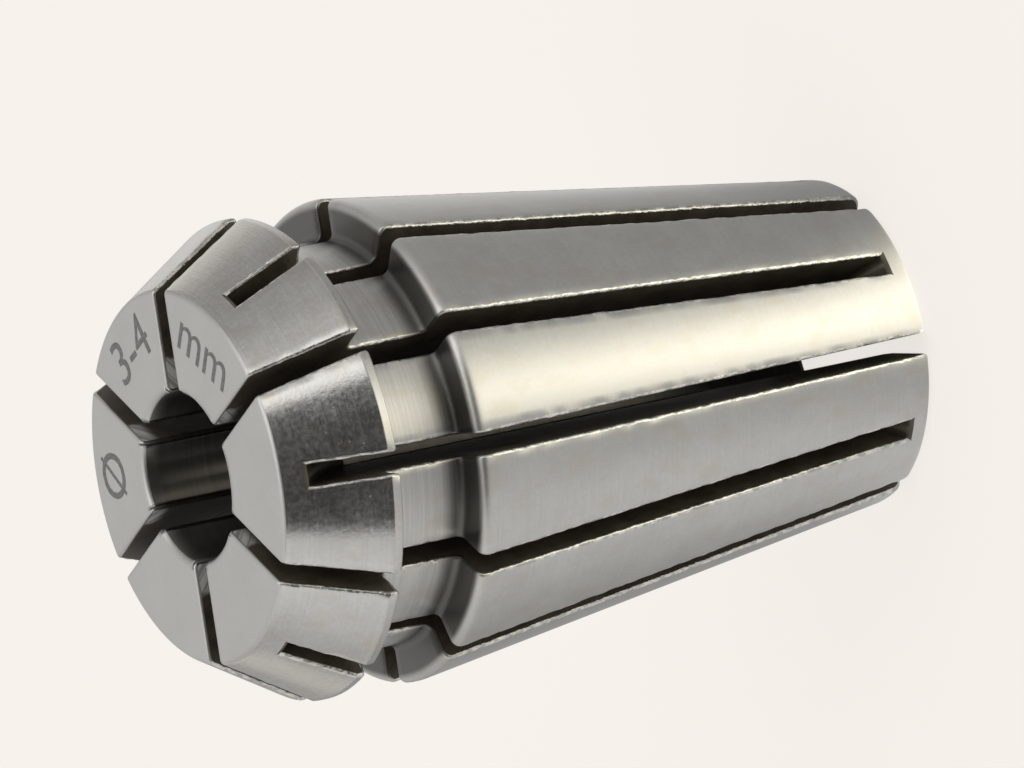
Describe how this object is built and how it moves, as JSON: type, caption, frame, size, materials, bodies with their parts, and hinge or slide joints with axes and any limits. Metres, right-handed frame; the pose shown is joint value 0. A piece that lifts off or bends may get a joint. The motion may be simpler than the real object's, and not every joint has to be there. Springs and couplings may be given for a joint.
{
  "type": "er collet",
  "caption": "Slotted spring collet for a tool holder: tapered body, extraction groove, nose cone and a through bore that closes on a round tool shank.",
  "frame": {"origin": "centre of the small end's face, on the collet's axis", "axes": "+Z along the axis, from the small end towards the nose; +X runs midway between two neighbouring slots, 15 degrees from one that is open at the nose"},
  "size_m": [0.0114, 0.0114, 0.018],
  "materials": {
    "steel": "ground taper and satin turned faces, bare hardened steel"
  },
  "bodies": {
    "root": {"collet": "steel"}
  },
  "joints": []
}
